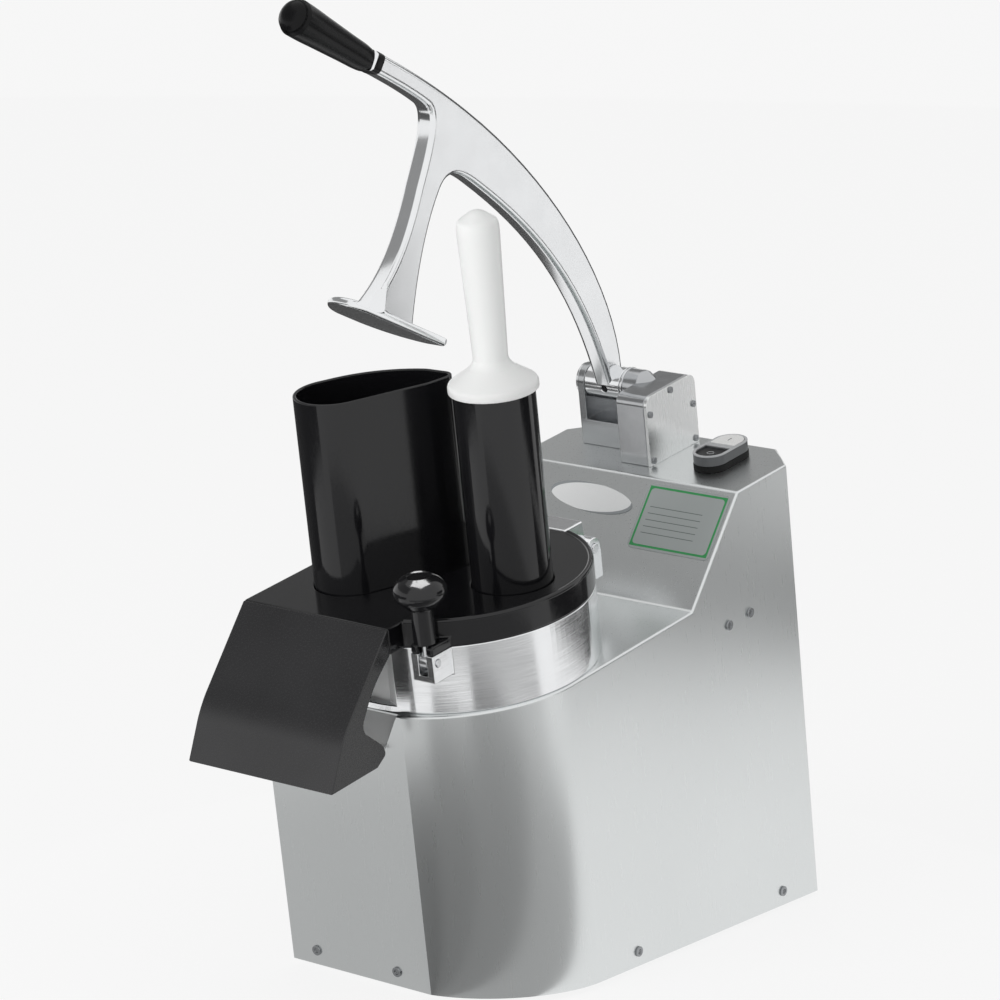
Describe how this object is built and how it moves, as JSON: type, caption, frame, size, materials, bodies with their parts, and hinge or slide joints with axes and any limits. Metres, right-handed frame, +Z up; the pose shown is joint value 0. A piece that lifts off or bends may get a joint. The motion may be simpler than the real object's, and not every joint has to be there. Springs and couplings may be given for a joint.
{
  "type": "vegetable cutting machine",
  "caption": "Bench vegetable cutter with a leaning steel casing, disc bowl, black lid, lever-pressed half-moon hopper, round hopper with pusher, screw latch and discharge hood.",
  "frame": {"origin": "middle of the box round the part, on the surface it stands on", "axes": "+Z up, +X to the machine's right as seen from the discharge hood's side, +Y to the back; the hood faces -Y"},
  "size_m": [0.2376, 0.5962, 0.8151],
  "materials": {
    "steel": "satin sheet",
    "bowl_alloy": "polished",
    "cast_alloy": "polished casting",
    "bright_steel": "polished",
    "black_gloss": "gloss",
    "black_satin": "satin",
    "white_plastic": "translucent white",
    "grey_plastic": "satin",
    "rubber": "matt",
    "dark_metal": "painted",
    "label": "printed film"
  },
  "bodies": {
    "machine": {"body_shell": "steel", "deck_cover": "steel", "rear_panel": "steel", "base_tray": "steel", "feet": "rubber", "foot_screws": "bright_steel", "casing_screws": "bright_steel", "discharge_ramp": "bright_steel", "bowl": "bowl_alloy", "bowl_screws": "bright_steel", "shaft_seal": "rubber", "lid": "black_gloss", "chute_hood": "black_gloss", "half_moon_hopper": "black_gloss", "round_hopper": "black_gloss", "lid_hinge_block": "cast_alloy", "lid_hinge_pin": "bright_steel", "lever_bracket": "cast_alloy", "bracket_bolts": "bright_steel", "bracket_cover": "steel", "cover_screws": "dark_metal", "hinge_pin": "bright_steel", "pin_cap": "grey_plastic", "lever_switch": "black_satin", "latch_pin": "bright_steel", "switch_gasket": "rubber", "switch_housing": "grey_plastic", "instruction_plate": "label", "oval_badge": "label", "drive_plate": "steel", "bearing_housing": "cast_alloy", "housing_bolts": "bright_steel", "shaft_bearings": "bright_steel", "drive_belt": "rubber", "motor": "dark_metal", "motor_bolts": "bright_steel", "run_capacitor": "black_satin", "terminal_box": "grey_plastic", "cable_gland": "black_satin"},
    "lever": {"lever_arm": "cast_alloy", "press_plate": "cast_alloy", "plate_screws": "bright_steel", "lever_grip": "black_satin", "hub_screw": "dark_metal"},
    "latch": {"swing_bolt": "bright_steel"},
    "knob": {"latch_knob": "black_gloss"},
    "pusher": {"hand_pusher": "white_plastic"},
    "start": {"start_button": "white_plastic"},
    "stop": {"stop_button": "black_satin"},
    "disc_drive": {"drive_shaft": "bright_steel", "driven_pulley": "cast_alloy", "ejector_disc": "white_plastic", "cutting_disc": "cast_alloy", "disc_blades": "bright_steel"},
    "rotor": {"motor_pulley": "cast_alloy"}
  },
  "joints": [
    {"name": "lever_swing", "type": "hinge", "parent": "machine", "child": "lever", "pos_m": [-0.054, 0.1811, 0.45197], "axis": [-1, 0, 0], "range_deg": [-28, 25]},
    {"name": "pusher_slide", "type": "slide", "parent": "machine", "child": "pusher", "axis": [0, -0.1685, 0.9857], "range_m": [0, 0.17]},
    {"name": "latch_swing", "type": "hinge", "parent": "machine", "child": "latch", "pos_m": [0.058, -0.20975, 0.29892], "axis": [1, 0, 0], "range_deg": [0, 110]},
    {"name": "knob_turn", "type": "hinge", "parent": "latch", "child": "knob", "pos_m": [0.058, -0.21531, 0.33145], "axis": [0, -0.1685, 0.9857], "continuous": true},
    {"name": "start_press", "type": "slide", "parent": "machine", "child": "start", "axis": [0, 0.1685, -0.9857], "range_m": [0, 0.002], "stiffness_N_per_m": 400},
    {"name": "stop_press", "type": "slide", "parent": "machine", "child": "stop", "axis": [0, 0.1685, -0.9857], "range_m": [0, 0.002], "stiffness_N_per_m": 400},
    {"name": "disc_spin", "type": "hinge", "parent": "machine", "child": "disc_drive", "pos_m": [0, -0.10178, 0.32042], "axis": [0, -0.1685, 0.9857], "continuous": true},
    {"name": "motor_spin", "type": "hinge", "parent": "machine", "child": "rotor", "pos_m": [0, 0.13039, 0.27388], "axis": [0, -0.1685, 0.9857], "continuous": true}
  ],
  "couplings": [
    {"joint": "motor_spin", "follows": "disc_spin", "ratio": 3.2422}
  ]
}
